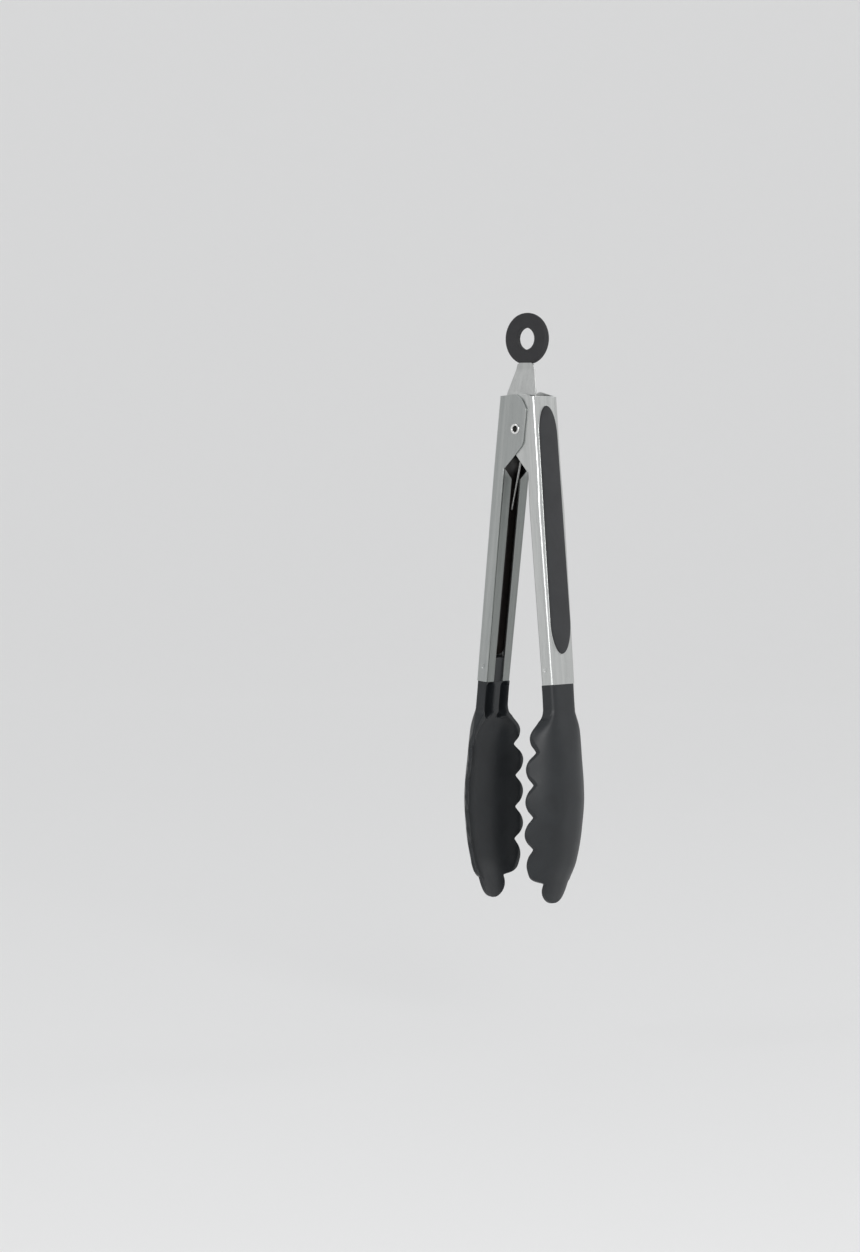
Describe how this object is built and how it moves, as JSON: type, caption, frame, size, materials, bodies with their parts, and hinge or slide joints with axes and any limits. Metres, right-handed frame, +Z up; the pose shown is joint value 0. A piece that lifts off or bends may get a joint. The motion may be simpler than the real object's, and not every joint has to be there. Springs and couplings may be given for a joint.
{
  "type": "spring loaded kitchen tongs",
  "caption": "Kitchen tongs with two folded steel arms on a sprung hinge, scalloped nylon heads, soft grips, and a pull tab with a hang ring that holds them closed.",
  "frame": {"origin": "centre of the hang ring's hole, with the tongs hanging at rest", "axes": "+Z up along the hanging tongs, Y along the hinge rivet and the ring's hole, +X towards the inner arm"},
  "size_m": [0.0546, 0.0428, 0.2687],
  "materials": {
    "steel_sheet": "satin stainless sheet with a fine lengthwise grain",
    "rivet_steel": "bright stainless tube",
    "spring_wire": "drawn spring wire",
    "ring_plastic": "matte black",
    "grip_rubber": "matte charcoal, soft",
    "backing_plastic": "black moulded plastic",
    "head_nylon": "satin black nylon"
  },
  "bodies": {
    "pull_tab": {"pull_tab": "steel_sheet", "hang_ring": "ring_plastic"},
    "hinge": {"hinge_rivet": "rivet_steel", "hinge_sleeve": "rivet_steel", "torsion_spring": "spring_wire"},
    "outer_arm": {"outer_arm": "steel_sheet", "outer_grip": "grip_rubber", "outer_grip_backing": "backing_plastic", "outer_head": "head_nylon"},
    "inner_arm": {"inner_arm": "steel_sheet", "inner_grip": "grip_rubber", "inner_grip_backing": "backing_plastic", "inner_head": "head_nylon"}
  },
  "joints": [
    {"name": "tab_slide", "type": "slide", "parent": "pull_tab", "child": "hinge", "axis": [0, 0, 1], "range_m": [-0.0057, 0.0119]},
    {"name": "outer_arm_hinge", "type": "hinge", "parent": "hinge", "child": "outer_arm", "pos_m": [0, 0.0018, -0.041], "axis": [0, 1, 0], "range_deg": [-4.05, 8.5], "stiffness_Nm_per_rad": 0.18, "springref_deg": 22.75, "deforming": ["torsion_spring"]},
    {"name": "inner_arm_hinge", "type": "hinge", "parent": "hinge", "child": "inner_arm", "pos_m": [0, 0.0018, -0.041], "axis": [0, 1, 0], "range_deg": [-8.5, 4.05]}
  ],
  "couplings": [
    {"joint": "tab_slide", "follows": "outer_arm_hinge", "m_per_rad": 0.08},
    {"joint": "inner_arm_hinge", "follows": "outer_arm_hinge", "ratio": -1}
  ]
}
